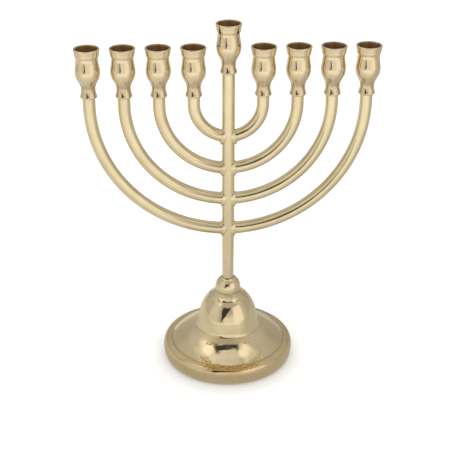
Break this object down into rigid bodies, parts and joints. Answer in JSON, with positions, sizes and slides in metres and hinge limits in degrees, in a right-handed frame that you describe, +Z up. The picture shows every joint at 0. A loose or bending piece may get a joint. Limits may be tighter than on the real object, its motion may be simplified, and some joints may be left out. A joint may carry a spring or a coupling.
{
  "type": "menorah",
  "caption": "Polished brass Hanukkah menorah: round domed foot, ball knop, stem with semicircular branches in one plane, screw-on candle cups and a raised servant cup.",
  "frame": {"origin": "centre of the foot's underside, on the table", "axes": "+Z up along the stem; the branches lie in the XZ plane; the front faces -Y"},
  "size_m": [0.1926, 0.0896, 0.2384],
  "materials": {
    "branch_brass": "polished",
    "cup_brass": "polished, darkened inside the candle bores",
    "foot_brass": "polished casting",
    "plated_steel": "zinc plated"
  },
  "bodies": {
    "foot": {"foot_dish": "foot_brass", "foot_bell": "foot_brass", "washer": "plated_steel"},
    "candelabrum": {"stem": "branch_brass", "knop": "branch_brass", "hex_nut": "plated_steel", "left_branch_1": "branch_brass", "left_branch_2": "branch_brass", "left_branch_3": "branch_brass", "left_branch_4": "branch_brass", "right_branch_1": "branch_brass", "right_branch_2": "branch_brass", "right_branch_3": "branch_brass", "right_branch_4": "branch_brass"},
    "servant_cup_body": {"servant_cup": "cup_brass"},
    "left_cup_1_body": {"left_cup_1": "cup_brass"},
    "left_cup_2_body": {"left_cup_2": "cup_brass"},
    "left_cup_3_body": {"left_cup_3": "cup_brass"},
    "left_cup_4_body": {"left_cup_4": "cup_brass"},
    "right_cup_1_body": {"right_cup_1": "cup_brass"},
    "right_cup_2_body": {"right_cup_2": "cup_brass"},
    "right_cup_3_body": {"right_cup_3": "cup_brass"},
    "right_cup_4_body": {"right_cup_4": "cup_brass"}
  },
  "joints": [
    {"name": "stem_turn", "type": "hinge", "parent": "foot", "child": "candelabrum", "pos_m": [0, 0, 0.05], "axis": [0, 0, 1], "continuous": true},
    {"name": "servant_cup_lift", "type": "slide", "parent": "candelabrum", "child": "servant_cup_body", "axis": [0, 0, 1], "range_m": [0, 0.012]},
    {"name": "left_cup_1_lift", "type": "slide", "parent": "candelabrum", "child": "left_cup_1_body", "axis": [0, 0, 1], "range_m": [0, 0.012]},
    {"name": "left_cup_2_lift", "type": "slide", "parent": "candelabrum", "child": "left_cup_2_body", "axis": [0, 0, 1], "range_m": [0, 0.012]},
    {"name": "left_cup_3_lift", "type": "slide", "parent": "candelabrum", "child": "left_cup_3_body", "axis": [0, 0, 1], "range_m": [0, 0.012]},
    {"name": "left_cup_4_lift", "type": "slide", "parent": "candelabrum", "child": "left_cup_4_body", "axis": [0, 0, 1], "range_m": [0, 0.012]},
    {"name": "right_cup_1_lift", "type": "slide", "parent": "candelabrum", "child": "right_cup_1_body", "axis": [0, 0, 1], "range_m": [0, 0.012]},
    {"name": "right_cup_2_lift", "type": "slide", "parent": "candelabrum", "child": "right_cup_2_body", "axis": [0, 0, 1], "range_m": [0, 0.012]},
    {"name": "right_cup_3_lift", "type": "slide", "parent": "candelabrum", "child": "right_cup_3_body", "axis": [0, 0, 1], "range_m": [0, 0.012]},
    {"name": "right_cup_4_lift", "type": "slide", "parent": "candelabrum", "child": "right_cup_4_body", "axis": [0, 0, 1], "range_m": [0, 0.012]}
  ]
}
